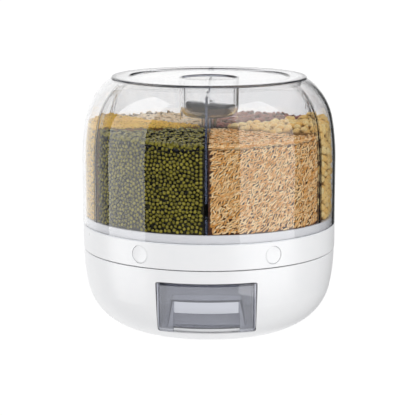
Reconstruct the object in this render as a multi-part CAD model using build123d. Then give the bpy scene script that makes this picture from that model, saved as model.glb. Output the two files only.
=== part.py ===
from build123d import *
import os
from math import asin, cos, degrees, radians, sin, sqrt, tan

# Rotating dry food dispenser: a white base with a drawer carries a clear six-part container.
# Driving dimensions are in millimetres and degrees. The origin is the middle of the underside,
# +Z is up, and the drawer faces -Y.

# Base bowl
BASE_RADIUS = 120.0
BASE_HEIGHT = 75.6
BASE_WALL = 2.6
BASE_LOWER_CURVE = 49.0
BASE_SIDE_TURN = 12.0
RIM_ROUND = 0.8

# Rubber feet
FOOT_RADIUS = 8.0
FOOT_PROUD = 1.0
FOOT_SEAT = 1.0
FOOT_FIT = 0.1
FOOT_INSET = 8.0
FOOT_COUNT = 4

# Deck over the base
DECK_DROP = 6.0
DECK_THICK = 3.0
DECK_FIT = 0.4
DECK_BOSS_INSET = 16.0
DECK_BOSS_ANGLES = (55.0, 115.0, 180.0, 245.0, 305.0)
BOSS_RADIUS = 4.5
SPOUT_WALL = 1.6
SPOUT_MARGIN = 5.0
SPOUT_REACH = 1.3
SPOUT_GAP = 2.9

# Screws
SCREW_RADIUS = 1.5
SCREW_HEAD_RADIUS = 2.8
SCREW_HEAD_HEIGHT = 1.5
SCREW_SINK = 1.8
SCREW_BITE = 5.5
SCREW_FIT = 0.05
SCREW_HEAD_FIT = 0.3
SCREW_SLOT_LENGTH = 3.4
SCREW_SLOT_WIDTH = 0.8
SCREW_SLOT_DEPTH = 0.7

# Turntable bearing and pivot
SEAM_GAP = 0.8
GROOVE_DEPTH = 0.7
GROOVE_PLAY = 0.3
BALL_PLAY = 0.1
BALL_COUNT = 12
BALL_TRACK_INSET = 12.0
CAGE_THICK = 3.0
CAGE_EDGE = 1.6
CAGE_PLAY = 0.15
PIVOT_RADIUS = 9.0
PIVOT_PLAY = 0.06
BUSH_WALL = 2.0
BUSH_FIT = 0.02
HUB_WALL = 4.0
HUB_HEIGHT = 8.6
HUB_LIFT = 0.2
WASHER_LAP = 2.5
WASHER_THICK = 1.5
PIVOT_SCREW_RADIUS = 2.0
PIVOT_SCREW_LENGTH = 14.0
PIVOT_HEAD_RADIUS = 4.0
PIVOT_HEAD_HEIGHT = 2.6

# Turntable plate and button ring
PLATE_THICK = 2.5
PLATE_FIT = 0.3
RING_PROUD = 0.5
RING_WALL = 2.5
RING_HEIGHT = 23.3
RING_FLANGE = 4.0
RING_FLANGE_THICK = 2.0
RING_BOSS_RADIUS = 3.5
RING_BOSS_HEIGHT = 8.0
RING_BOSS_INSET = 4.5
FLOOR_SCREW_INSET = 18.0

# Buttons, gates and springs
COMPARTMENTS = 6
BUTTON_RISE = 11.5
BUTTON_RADIUS = 8.0
BUTTON_FIT = 0.3
BUTTON_TRAVEL = 8.0
BUTTON_SETBACK = 0.2
BUTTON_DISH = 0.7
BUTTON_EDGE = 0.9
BUTTON_FACE = 2.4
BUTTON_WALL = 1.5
SOCKET_WALL = 1.4
SOCKET_FIT = 0.05
SLEEVE_WALL = 1.6
SLEEVE_LENGTH = 7.0
STOP_PLAY = 0.4
STOP_THICK = 2.0
STOP_LAP = 1.4
STEM_RADIUS = 3.0
STEM_SINK = 0.8
STEM_ROOT = 8.0
STEM_PLAY = 0.3
SEAT_THICK = 2.2
SEAT_HALF_WIDTH = 7.0
SEAT_RISE = 5.5
SPRING_LENGTH = 13.4
SPRING_RADIUS = 4.6
SPRING_WIRE = 0.8
SPRING_TURNS = 5
SPRING_PLAY = 0.05
GATE_THICK = 2.0
GATE_CLEARANCE = 0.3
GATE_LAP = 0.5
GATE_OVERLAP = 3.0
GATE_END = 13.5
GATE_SETBACK = 1.0
GATE_MARGIN = 9.0
GATE_EDGE = 4.0
COLLAR_WALL = 1.6
COLLAR_PLAY = 0.5
GUIDE_WALL = 1.6
GUIDE_OVERRUN = 4.0

# Hopper floor
FLOOR_WALL = 2.2
FLOOR_RISE = 13.7
FLOOR_FIT = 0.3
FLOOR_RIM = 2.3
TROUGH_MARGIN = 1.5
CROWN_RADIUS = 14.0

# Clear dome
SEAL_THICK = 0.8
SEAL_INSET = 0.3
DOME_PROUD = 0.2
DOME_WALL = 2.5
DOME_STRAIGHT = 59.5
DOME_SIDE_CURVE = 223.8
DOME_SIDE_TURN = 9.86
DOME_SHOULDER_CURVE = 59.2
NECK_INSET = 32.7
RIB_THICK = 1.2
RIB_DEPTH = 3.0
RIB_ROOT = 0.4
RIB_TOP_DROP = 4.0

# Dividers and centre column
DIVIDER_THICK = 2.2
DIVIDER_FIT = 0.2
DIVIDER_GAP = 0.3
DIVIDER_TOP_GAP = 2.0
COLUMN_RADIUS = 8.0
COLUMN_SLOT_DEPTH = 2.5
COLUMN_SPIGOT_RADIUS = 4.0
COLUMN_SPIGOT_LENGTH = 4.0
COLUMN_FIT = 0.1
COLUMN_GAP = 2.0

# Lid
LID_SEAL_THICK = 0.6
LID_SEAL_INSET = 0.3
LID_SETBACK = 0.4
LID_RIM = 1.2
LID_EDGE = 0.8
LID_BORDER = 17.2
LID_STEP = 1.4
LID_PANEL = 2.4
SKIRT_FIT = 1.0
SKIRT_WALL = 2.0
SKIRT_DEPTH = 6.5
CUP_RADIUS = 28.5
CUP_WALL = 2.2
CUP_DEPTH = 37.2
CUP_CORNER = 10.0
CUP_GAP = 2.5
GRIP_TURN = -40.0
GRIP_WIDTH = 14.0
GRIP_HEIGHT = 11.0
GRIP_ROUND = 3.5
GRIP_FIT = 0.1

# Drawer and its tunnel
WINDOW_WIDTH = 91.9
WINDOW_HEIGHT = 50.7
WINDOW_TAPER = 1.05
WINDOW_DROP = 11.3
WINDOW_CORNER = 2.2
PANEL_GAP = 1.0
PANEL_THICK = 2.4
NOTCH_WIDTH = 60.0
NOTCH_HEIGHT = 21.4
NOTCH_CORNER = 1.5
LIP_HEIGHT = 10.7
POCKET_DEPTH = 20.0
POCKET_WALL = 2.0
POCKET_FLARE = 5.0
BIN_SIDE_GAP = 1.3
BIN_LIFT = 3.6
BIN_WALL = 2.0
BIN_TOP_DROP = 4.0
BIN_BACK = 14.0
BIN_FIT = 0.15
TUNNEL_PLAY = 0.4
TUNNEL_LIFT = 0.3
TUNNEL_WALL = 2.0
TUNNEL_BACK_GAP = 0.6
TUNNEL_FRONT_GAP = 0.6
TUNNEL_FLANGE = 9.0
TUNNEL_SCREW_INSET = 18.0
TUNNEL_SCREW_SETBACK = 21.5
APRON_DROP = 7.0

# Heights of the stack, from the base up
SECTOR = 360 / COMPARTMENTS
deck_top = BASE_HEIGHT - DECK_DROP
deck_bottom = deck_top - DECK_THICK
plate_bottom = BASE_HEIGHT + SEAM_GAP
plate_top = plate_bottom + PLATE_THICK
hub_top = plate_bottom + HUB_HEIGHT
post_top = hub_top + HUB_LIFT
ring_top = plate_bottom + RING_HEIGHT
button_height = plate_bottom + BUTTON_RISE
gate_bottom = button_height + STEM_RADIUS - STEM_SINK
gate_top = gate_bottom + GATE_THICK
collar_top = gate_bottom - GATE_CLEARANCE
floor_under = gate_top + GATE_CLEARANCE
trough_top = floor_under + FLOOR_WALL
floor_top = trough_top + FLOOR_RISE
dome_foot = ring_top + SEAL_THICK

# Curve centres of the base bowl, in radius and height
bowl_side_rise = BASE_HEIGHT - FOOT_PROUD - BASE_LOWER_CURVE
bowl_side_curve = BASE_LOWER_CURVE + bowl_side_rise / sin(radians(BASE_SIDE_TURN))
bowl_side_x = BASE_RADIUS - bowl_side_curve
bowl_low_x = bowl_side_x + (bowl_side_curve - BASE_LOWER_CURVE) * cos(radians(BASE_SIDE_TURN))
bowl_low_z = FOOT_PROUD + BASE_LOWER_CURVE

# Radii, from the ring inwards
ring_radius = BASE_RADIUS + RING_PROUD
ring_in = ring_radius - RING_WALL
plate_radius = ring_in - PLATE_FIT
ring_boss_circle = ring_in - RING_BOSS_INSET
floor_screw_circle = ring_in - FLOOR_SCREW_INSET
track_radius = floor_screw_circle - BALL_TRACK_INSET
sleeve_in = ring_in - SLEEVE_LENGTH
stop_out = sleeve_in - STOP_PLAY
stop_in = stop_out - STOP_THICK
seat_out = stop_in - SPRING_LENGTH
seat_in = seat_out - SEAT_THICK
gate_out = seat_in - GATE_SETBACK
window_out = gate_out - GATE_END
outlet_length = BUTTON_TRAVEL - GATE_LAP
window_in = window_out - outlet_length
outlet_out = window_out - BUTTON_TRAVEL
outlet_in = outlet_out - outlet_length
outlet_mid = (outlet_in + outlet_out) / 2
gate_in = outlet_in - GATE_OVERLAP
gate_half = (gate_in - BUTTON_TRAVEL) * tan(radians(SECTOR / 2)) - GATE_MARGIN
outlet_half = gate_half - GATE_EDGE

# Curve centres of the dome, in radius and height
dome_radius = ring_radius + DOME_PROUD
dome_in = dome_radius - DOME_WALL
dome_bend = dome_foot + DOME_STRAIGHT
neck_radius = dome_radius - NECK_INSET
dome_side_x = dome_radius - DOME_SIDE_CURVE
dome_shoulder_x = dome_side_x + (DOME_SIDE_CURVE - DOME_SHOULDER_CURVE) * cos(radians(DOME_SIDE_TURN))
dome_shoulder_z = dome_bend + (DOME_SIDE_CURVE - DOME_SHOULDER_CURVE) * sin(radians(DOME_SIDE_TURN))
neck_reach = neck_radius - dome_shoulder_x
neck_top = dome_shoulder_z + sqrt((DOME_SHOULDER_CURVE - DOME_WALL) ** 2 - neck_reach ** 2)
neck_out = dome_shoulder_x + sqrt(DOME_SHOULDER_CURVE ** 2 - (neck_top - dome_shoulder_z) ** 2)

# Lid heights and radii
lid_bottom = neck_top + LID_SEAL_THICK
lid_top = lid_bottom + LID_RIM
lid_radius = neck_out - LID_SETBACK
panel_radius = lid_radius - LID_BORDER
panel_top = lid_top - LID_STEP
panel_under = panel_top - LID_PANEL
skirt_out = neck_radius - SKIRT_FIT
skirt_in = skirt_out - SKIRT_WALL
skirt_bottom = lid_bottom - SKIRT_DEPTH
cup_bottom = lid_bottom - CUP_DEPTH
column_top = cup_bottom - COLUMN_GAP
divider_top = skirt_bottom - DIVIDER_TOP_GAP

# Floor trough radii
floor_out = dome_in - FLOOR_FIT
floor_rim_in = floor_out - FLOOR_RIM
trough_in = outlet_in - TROUGH_MARGIN
trough_out = outlet_out + TROUGH_MARGIN

# Drawer heights and widths
window_top = BASE_HEIGHT - WINDOW_DROP
window_bottom = window_top - WINDOW_HEIGHT
front_bottom = window_bottom + PANEL_GAP
front_top = window_top - PANEL_GAP
lip_bottom = front_bottom + NOTCH_HEIGHT
pocket_top = lip_bottom + LIP_HEIGHT
bin_half = WINDOW_WIDTH / 2 - WINDOW_TAPER - PANEL_GAP - BIN_SIDE_GAP
bin_bottom = front_bottom + BIN_LIFT
bin_floor = bin_bottom + BIN_WALL
bin_top = front_top - BIN_TOP_DROP
tunnel_half = bin_half + TUNNEL_PLAY
tunnel_out = tunnel_half + TUNNEL_WALL
tunnel_floor = bin_bottom - TUNNEL_LIFT
tunnel_back = BIN_BACK - TUNNEL_BACK_GAP
tunnel_screw_x = tunnel_out + TUNNEL_FLANGE / 2
spout_half_x = outlet_half + SPOUT_MARGIN
spout_half_y = outlet_length / 2 + SPOUT_REACH + SPOUT_WALL
spout_bottom = bin_top + SPOUT_GAP

UPRIGHT = (Align.CENTER, Align.CENTER, Align.MIN)
FRONT = (Align.CENTER, Align.MAX, Align.MIN)


def turned(*outline):
    """Solid turned about Z from a closed outline in the radius-height plane."""
    edges = [edge for item in outline for edge in item.edges()]
    return revolve(Plane.XZ * make_face(edges), Axis.Z)


def tube(outer, inner, bottom, top):
    """Upright ring on the Z axis."""
    return turned(Polyline((inner, bottom), (outer, bottom), (outer, top), (inner, top), (inner, bottom)))


def rod(radius, bottom, top):
    """Upright cylinder on the Z axis."""
    return Pos(0, 0, bottom) * Cylinder(radius, top - bottom, align=UPRIGHT)


def block(half_width, near, far, bottom, top):
    """Box centred on the front line, reaching from radius near to radius far."""
    return Pos(0, -near, bottom) * Box(2 * half_width, far - near, top - bottom, align=FRONT)


def around(piece, count=COMPARTMENTS, start=0.0):
    """Copies of a piece spaced evenly about Z."""
    return [piece.rotate(Axis.Z, start + 360 * step / count) for step in range(count)]


def facing_out(piece):
    """Place a piece drawn along Z on the front line at button height, its Z as the radius."""
    return Plane(origin=(0, 0, button_height), x_dir=(1, 0, 0), z_dir=(0, -1, 0)) * piece


def screw(radius, length, head_radius, head_height):
    """Cross-slot screw with its shank below the origin and its head above."""
    body = rod(radius, -length, 0) + rod(head_radius, 0, head_height)
    slot_base = head_height - SCREW_SLOT_DEPTH
    slot = Pos(0, 0, slot_base) * Box(SCREW_SLOT_LENGTH, SCREW_SLOT_WIDTH, head_height, align=UPRIGHT)
    return body - slot - slot.rotate(Axis.Z, 90)


def bowl_solid(inset):
    """The base bowl's outside shape, made smaller all round by inset."""
    side = CenterArc((bowl_side_x, BASE_HEIGHT), bowl_side_curve - inset, -BASE_SIDE_TURN, BASE_SIDE_TURN)
    low = CenterArc((bowl_low_x, bowl_low_z), BASE_LOWER_CURVE - inset, -90, 90 - BASE_SIDE_TURN)
    floor = FOOT_PROUD + inset
    rest = Polyline((bowl_low_x, floor), (0, floor), (0, BASE_HEIGHT), (BASE_RADIUS - inset, BASE_HEIGHT))
    return turned(low, side, rest)


def bowl_radius(height, inset=0.0):
    """Radius of the bowl, less inset, at a height."""
    if height > bowl_low_z - BASE_LOWER_CURVE * sin(radians(BASE_SIDE_TURN)):
        return bowl_side_x + sqrt((bowl_side_curve - inset) ** 2 - (BASE_HEIGHT - height) ** 2)
    return bowl_low_x + sqrt((BASE_LOWER_CURVE - inset) ** 2 - (bowl_low_z - height) ** 2)


deck_radius = bowl_radius(deck_bottom, BASE_WALL) - DECK_FIT
deck_boss_circle = deck_radius - DECK_BOSS_INSET
foot_circle = bowl_low_x - FOOT_INSET - FOOT_RADIUS
ball_radius = (plate_bottom - deck_top) / 2 + GROOVE_DEPTH - BALL_PLAY
groove_half = sqrt(2 * ball_radius * GROOVE_DEPTH) + GROOVE_PLAY
pocket_back = bowl_radius(lip_bottom) - POCKET_DEPTH
tunnel_screw_circle = deck_radius - TUNNEL_SCREW_SETBACK
tunnel_screw_front = sqrt(tunnel_screw_circle ** 2 - tunnel_screw_x ** 2)


def window_prism(grow):
    """Drawer window as a prism along Y, grown by an amount on every side."""
    half_top = WINDOW_WIDTH / 2 + grow
    half_bottom = half_top - WINDOW_TAPER
    top = window_top + grow
    bottom = window_bottom - grow
    corners = ((-half_bottom, bottom), (half_bottom, bottom), (half_top, top), (-half_top, top))
    face = make_face(Polyline(*corners, close=True))
    face = fillet(face.vertices(), WINDOW_CORNER + grow)
    return Pos(0, -BASE_RADIUS / 2, 0) * extrude(Plane.XZ * face, BASE_RADIUS)


def base_housing():
    """White bowl with the drawer window, five screw posts and four foot recesses."""
    shell = bowl_solid(0) - bowl_solid(BASE_WALL)
    shell = fillet(shell.edges().group_by(Axis.Z)[-1], RIM_ROUND)
    post = Pos(0, -deck_boss_circle, 0) * rod(BOSS_RADIUS, FOOT_PROUD + BASE_WALL / 2, deck_bottom)
    bore = Pos(0, -deck_boss_circle, 0) * rod(
        SCREW_RADIUS + SCREW_FIT, deck_bottom - SCREW_BITE - SCREW_SINK, deck_bottom
    )
    posts = [(post & bowl_solid(BASE_WALL / 2)).rotate(Axis.Z, angle) for angle in DECK_BOSS_ANGLES]
    bores = [bore.rotate(Axis.Z, angle) for angle in DECK_BOSS_ANGLES]
    recess = Pos(0, -foot_circle, 0) * rod(FOOT_RADIUS, 0, FOOT_PROUD + FOOT_SEAT)
    return shell + posts - bores - around(recess, FOOT_COUNT, 180 / FOOT_COUNT) - window_prism(0)


def foot_pads():
    """Rubber discs pressed into the bowl's underside."""
    pad = Pos(0, -foot_circle, 0) * rod(FOOT_RADIUS - FOOT_FIT, 0, FOOT_PROUD + FOOT_SEAT)
    return Compound(around(pad, FOOT_COUNT, 180 / FOOT_COUNT))


def ball_groove(bottom, top):
    """Ring that cuts a ball track."""
    return tube(track_radius + groove_half, track_radius - groove_half, bottom, top)


def base_deck():
    """Disc over the base with the pivot post, the ball track and the outlet spout."""
    deck = rod(deck_radius, deck_bottom, deck_top) + rod(PIVOT_RADIUS, deck_bottom, post_top)
    deck = deck - ball_groove(deck_top - GROOVE_DEPTH, deck_top)
    near = outlet_mid - spout_half_y
    far = outlet_mid + spout_half_y
    deck = deck + block(spout_half_x + SPOUT_WALL, near, far, spout_bottom, deck_top)
    deck = deck - block(spout_half_x, near + SPOUT_WALL, far - SPOUT_WALL, spout_bottom, deck_top)
    hole = Pos(0, -deck_boss_circle, 0) * rod(SCREW_RADIUS + SCREW_FIT, deck_bottom, deck_top)
    sink = rod(SCREW_HEAD_RADIUS + SCREW_HEAD_FIT, deck_top - SCREW_SINK, deck_top)
    drilled = hole + Pos(0, -deck_boss_circle, 0) * sink
    holes = [drilled.rotate(Axis.Z, angle) for angle in DECK_BOSS_ANGLES]
    pilot_top = deck_top - GROOVE_DEPTH
    pilots = tunnel_screw_places(rod(SCREW_RADIUS + SCREW_FIT, deck_bottom, pilot_top))
    pivot_bore = rod(PIVOT_SCREW_RADIUS + SCREW_FIT, post_top - PIVOT_SCREW_LENGTH, post_top)
    return deck - holes - pilots - pivot_bore


def deck_screws():
    """Screws that hold the deck on the bowl's posts."""
    one = screw(SCREW_RADIUS, SCREW_BITE + DECK_THICK - SCREW_SINK, SCREW_HEAD_RADIUS, SCREW_HEAD_HEIGHT)
    placed = Pos(0, -deck_boss_circle, deck_top - SCREW_SINK) * one
    return Compound([placed.rotate(Axis.Z, angle) for angle in DECK_BOSS_ANGLES])


def tunnel_screw_places(piece):
    """Copies of a piece at the four flange screws of the drawer tunnel."""
    rows = (tunnel_back + TUNNEL_SCREW_INSET, tunnel_screw_front)
    return [Pos(side * tunnel_screw_x, -row, 0) * piece for side in (-1, 1) for row in rows]


def drawer_tunnel():
    """White sleeve under the deck that the drawer slides in."""
    reach = BASE_RADIUS
    shell = block(tunnel_out, tunnel_back - TUNNEL_WALL, reach, tunnel_floor - TUNNEL_WALL, deck_bottom)
    shell = shell - block(tunnel_half, tunnel_back, reach, tunnel_floor, deck_bottom)
    flange_half = tunnel_out + TUNNEL_FLANGE
    flange = block(flange_half, tunnel_back, reach, deck_bottom - TUNNEL_WALL, deck_bottom)
    flange = flange - block(tunnel_half, tunnel_back, reach, deck_bottom - TUNNEL_WALL, deck_bottom)
    front_inset = BASE_WALL + TUNNEL_FRONT_GAP
    apron = block(tunnel_out, tunnel_back, reach, tunnel_floor - APRON_DROP, tunnel_floor)
    apron = (apron & bowl_solid(front_inset)) - bowl_solid(front_inset + TUNNEL_WALL)
    sleeve = ((shell + flange) & bowl_solid(front_inset)) + apron
    bottom = deck_bottom - TUNNEL_WALL
    return sleeve - tunnel_screw_places(rod(SCREW_RADIUS + SCREW_FIT, bottom, deck_bottom))


def tunnel_screws():
    """Screws that hold the tunnel's flanges up against the deck."""
    one = screw(SCREW_RADIUS, TUNNEL_WALL + DECK_THICK / 2, SCREW_HEAD_RADIUS, SCREW_HEAD_HEIGHT)
    upward = Pos(0, 0, deck_bottom - TUNNEL_WALL) * one.rotate(Axis.X, 180)
    return Compound(tunnel_screw_places(upward))


def ball_places(piece):
    """Copies of a piece at the bearing balls."""
    middle = (deck_top + plate_bottom) / 2
    return around(Pos(0, -track_radius, middle) * piece, BALL_COUNT)


def bearing_balls():
    """Balls that the turntable rolls on."""
    return Compound(ball_places(Sphere(ball_radius)))


def bearing_cage():
    """Ring that keeps the balls apart."""
    half = ball_radius + CAGE_EDGE
    middle = (deck_top + plate_bottom) / 2
    ring = tube(track_radius + half, track_radius - half, middle - CAGE_THICK / 2, middle + CAGE_THICK / 2)
    return ring - ball_places(Cylinder(ball_radius + CAGE_PLAY, 2 * CAGE_THICK))


def pivot_bush():
    """Bush between the turntable's hub and the pivot post."""
    inner = PIVOT_RADIUS + PIVOT_PLAY
    return tube(PIVOT_RADIUS + BUSH_WALL - BUSH_FIT, inner, plate_bottom, hub_top)


def pivot_washer():
    """Washer on the post that keeps the hub from lifting."""
    outer = PIVOT_RADIUS + BUSH_WALL + WASHER_LAP
    return tube(outer, PIVOT_SCREW_RADIUS + SCREW_FIT, post_top, post_top + WASHER_THICK)


def pivot_screw():
    """Screw down the middle of the pivot post."""
    length = PIVOT_SCREW_LENGTH - WASHER_THICK
    one = screw(PIVOT_SCREW_RADIUS, length, PIVOT_HEAD_RADIUS, PIVOT_HEAD_HEIGHT)
    return Pos(0, 0, post_top + WASHER_THICK) * one


def turntable_plate():
    """Turning plate: hub, ball track, gate collars, gate guides, spring seats and screw posts."""
    plate = rod(plate_radius, plate_bottom, plate_top)
    plate = plate + rod(PIVOT_RADIUS + BUSH_WALL + HUB_WALL, plate_bottom, hub_top)
    collar_half = outlet_half + COLLAR_PLAY
    near = outlet_in - COLLAR_PLAY
    far = outlet_out + COLLAR_PLAY
    collar = block(collar_half + COLLAR_WALL, near - COLLAR_WALL, far + COLLAR_WALL, plate_top, collar_top)
    guide_in = gate_half + GATE_CLEARANCE
    guide_near = gate_in - GUIDE_OVERRUN
    guide = block(guide_in + GUIDE_WALL, guide_near, seat_in, plate_top, gate_top)
    guide = guide - block(guide_in, guide_near, seat_in, plate_top, gate_top)
    slot_half = STEM_RADIUS + STEM_PLAY
    seat = block(SEAT_HALF_WIDTH, seat_in, seat_out, plate_top, button_height + SEAT_RISE)
    seat = seat - block(slot_half, seat_in, seat_out, button_height, button_height + SEAT_RISE)
    seat = seat - facing_out(rod(slot_half, seat_in, seat_out))
    post = Pos(0, -floor_screw_circle, 0) * rod(BOSS_RADIUS, plate_top, floor_under)
    plate = plate + around(collar + guide + seat, start=SECTOR / 2) + around(post)
    outlet = block(collar_half, near, far, plate_bottom, collar_top)
    hole = rod(SCREW_RADIUS + SCREW_FIT, plate_bottom, floor_under)
    sink = rod(SCREW_HEAD_RADIUS + SCREW_HEAD_FIT, plate_bottom, plate_bottom + SCREW_SINK)
    drilled = Pos(0, -floor_screw_circle, 0) * (hole + sink)
    ring_hole = Pos(0, -ring_boss_circle, 0) * (hole + sink)
    plate = plate - around(outlet, start=SECTOR / 2) - around(drilled) - around(ring_hole)
    plate = plate - rod(PIVOT_RADIUS + BUSH_WALL, plate_bottom, hub_top)
    return plate - ball_groove(plate_bottom, plate_bottom + GROOVE_DEPTH)


def upward_screws(circle, length):
    """Ring of screws that go up through the turntable plate."""
    one = screw(SCREW_RADIUS, length, SCREW_HEAD_RADIUS, SCREW_HEAD_HEIGHT).rotate(Axis.X, 180)
    return Compound(around(Pos(0, -circle, plate_bottom + SCREW_SINK) * one))


def button_ring():
    """White ring with a guide sleeve for each button and a flange on the turntable plate."""
    wall = tube(ring_radius, ring_in, plate_bottom, ring_top)
    wall = fillet(wall.edges(), RIM_ROUND)
    flange_top = plate_top + RING_FLANGE_THICK
    wall = wall + tube(ring_in + RING_WALL / 2, ring_in - RING_FLANGE, plate_top, flange_top)
    boss_top = plate_top + RING_BOSS_HEIGHT
    boss = Pos(0, -ring_boss_circle, 0) * rod(RING_BOSS_RADIUS, plate_top, boss_top)
    bore = Pos(0, -ring_boss_circle, 0) * rod(SCREW_RADIUS + SCREW_FIT, plate_top, boss_top - SCREW_FIT)
    sleeve_bore = BUTTON_RADIUS + BUTTON_FIT
    sleeve_out = sleeve_bore + SLEEVE_WALL
    sleeve = facing_out(rod(sleeve_out, sleeve_in, ring_in + RING_WALL / 2))
    sleeve = sleeve & block(sleeve_out, sleeve_in, ring_radius, plate_top, button_height + sleeve_out)
    opening = facing_out(rod(sleeve_bore, sleeve_in, ring_radius + RING_WALL))
    ring = wall + around(sleeve, start=SECTOR / 2) + around(boss)
    return ring - around(opening, start=SECTOR / 2) - around(bore)


def button_cap():
    """Push button: dished face, thin wall and a socket for the gate's stem."""
    face = ring_radius - BUTTON_SETBACK
    under = face - BUTTON_FACE
    dish_edge = BUTTON_RADIUS - BUTTON_EDGE
    dish = ThreePointArc((-dish_edge, face), (0, face - BUTTON_DISH), (dish_edge, face))
    dish_half = dish.trim(0.5, 1)
    back = stop_out
    outline = Polyline(
        (dish_edge, face),
        (BUTTON_RADIUS, face - BUTTON_EDGE / 2),
        (BUTTON_RADIUS, back),
        (BUTTON_RADIUS - BUTTON_WALL, back),
        (BUTTON_RADIUS - BUTTON_WALL, under),
        (0, under),
        (0, face - BUTTON_DISH),
    )
    cap = turned(dish_half, outline)
    socket_in = STEM_RADIUS + SOCKET_FIT
    return facing_out(cap + tube(socket_in + SOCKET_WALL, socket_in, back, under))


def gate():
    """Shutter plate with its window, and the stem that the button pushes."""
    plate = block(gate_half, gate_in, gate_out, gate_bottom, gate_top)
    plate = plate - block(outlet_half, window_in, window_out, gate_bottom, gate_top)
    stem_end = ring_radius - BUTTON_SETBACK - BUTTON_FACE
    stem = facing_out(rod(STEM_RADIUS, gate_out - STEM_ROOT, stem_end))
    stop_radius = BUTTON_RADIUS + BUTTON_FIT + STOP_LAP
    stop = facing_out(rod(stop_radius, stop_in, stop_out))
    stop_low = plate_top + GATE_CLEARANCE
    stop = stop & block(stop_radius, stop_in, stop_out, stop_low, button_height + stop_radius)
    return plate + stem + stop


def gate_spring():
    """Coil spring on the stem, between the seat and the stop."""
    margin = SPRING_WIRE / 2 + SPRING_PLAY
    height = SPRING_LENGTH - 2 * margin
    coil = Helix(height / SPRING_TURNS, height, SPRING_RADIUS, center=(0, 0, seat_out + margin))
    section = Plane(origin=coil @ 0, z_dir=coil % 0) * Circle(SPRING_WIRE / 2)
    return facing_out(sweep(section, path=coil, is_frenet=True))


def floor_outline(lift):
    """Top line of the hopper floor from the crown to the rim, lifted by an amount."""
    low = trough_top + lift
    high = floor_top + lift
    return [(0, high), (CROWN_RADIUS, high), (trough_in, low), (trough_out, low), (floor_rim_in, high)]


def hopper_floor():
    """White floor with a sloped trough, an outlet for each compartment and a rim inside the dome."""
    over = floor_outline(0)
    under = floor_outline(-FLOOR_WALL)
    rim = [(floor_out, floor_top), (floor_out, dome_foot), (floor_rim_in, dome_foot)]
    shell = turned(Polyline(*over, *rim, *reversed(under), over[0]))
    below_top = turned(Polyline(*over, (floor_rim_in, floor_under), (0, floor_under), over[0]))
    boss = (Pos(0, -floor_screw_circle, 0) * rod(BOSS_RADIUS, floor_under, floor_top)) & below_top
    bore_top = floor_under + SCREW_BITE + SCREW_FIT
    bore = Pos(0, -floor_screw_circle, 0) * rod(SCREW_RADIUS + SCREW_FIT, floor_under, bore_top)
    outlet = block(outlet_half, outlet_in, outlet_out, floor_under, trough_top)
    spigot_hole = rod(COLUMN_SPIGOT_RADIUS + COLUMN_FIT, floor_under, floor_top)
    floor = shell + around(boss) - around(bore)
    return floor - around(outlet, start=SECTOR / 2) - spigot_hole


def dome_line(inset, bottom, top):
    """Dome wall line, moved inwards by inset, from a bottom height to a top height."""
    shoulder = DOME_SHOULDER_CURVE - inset
    end_turn = degrees(asin((top - dome_shoulder_z) / shoulder))
    wall = Line((dome_radius - inset, bottom), (dome_radius - inset, dome_bend))
    side = CenterArc((dome_side_x, dome_bend), DOME_SIDE_CURVE - inset, 0, DOME_SIDE_TURN)
    bend = CenterArc((dome_shoulder_x, dome_shoulder_z), shoulder, DOME_SIDE_TURN, end_turn - DOME_SIDE_TURN)
    return [wall, side, bend]


def dome_shell(outer_inset, inner_inset, bottom, top):
    """Shell between two lines of the dome."""
    outer = dome_line(outer_inset, bottom, top)
    inner = dome_line(inner_inset, bottom, top)
    foot = Line(outer[0] @ 0, inner[0] @ 0)
    rim = Line(outer[2] @ 1, inner[2] @ 1)
    return turned(*outer, *inner, foot, rim)


def hopper_dome():
    """Clear dome with a pair of ribs inside for each divider."""
    shell = dome_shell(0, DOME_WALL, dome_foot, neck_top)
    rib_zone = dome_shell(DOME_WALL - RIB_ROOT, DOME_WALL + RIB_DEPTH, floor_top, neck_top - RIB_TOP_DROP)
    slot_half = DIVIDER_THICK / 2 + DIVIDER_FIT
    pair = block(slot_half + RIB_THICK, neck_radius / 2, dome_radius, floor_top, neck_top)
    pair = pair - block(slot_half, neck_radius / 2, dome_radius, floor_top, neck_top)
    return shell + around(rib_zone & pair)


def dome_seal():
    """Soft ring between the dome's foot and the button ring."""
    return tube(ring_radius - SEAL_INSET, dome_in + SEAL_INSET, ring_top, dome_foot)


def center_column():
    """Clear column with a slot for each divider, spigoted into the floor's crown."""
    column = rod(COLUMN_RADIUS, floor_top, column_top)
    column = column + rod(COLUMN_SPIGOT_RADIUS, floor_top - COLUMN_SPIGOT_LENGTH, floor_top)
    slot_half = DIVIDER_THICK / 2 + DIVIDER_FIT
    slot = block(slot_half, COLUMN_RADIUS - COLUMN_SLOT_DEPTH, 2 * COLUMN_RADIUS, floor_top, column_top)
    return column - around(slot)


def divider():
    """Clear plate from the column to the dome, shaped to the floor and cut away round the lid's cup."""
    line = dome_line(DOME_WALL + DIVIDER_GAP, floor_top + DIVIDER_GAP, divider_top)
    foot = Polyline(*floor_outline(DIVIDER_GAP), line[0] @ 0)
    top = Polyline(line[2] @ 1, (0, divider_top), (0, floor_top + DIVIDER_GAP))
    space = turned(*line, foot, top)
    near = COLUMN_RADIUS - COLUMN_SLOT_DEPTH + DIVIDER_GAP
    plate = block(DIVIDER_THICK / 2, near, dome_radius, floor_under, divider_top)
    return (plate & space) - rod(CUP_RADIUS + CUP_GAP, column_top, lid_top)


def cup_line(radius, bottom, corner, top):
    """Half outline of a round cup from its middle to its mouth."""
    base = Line((0, bottom), (radius - corner, bottom))
    bend = CenterArc((radius - corner, bottom + corner), corner, -90, 90)
    side = Line((radius, bottom + corner), (radius, top))
    return [base, bend, side]


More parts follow.
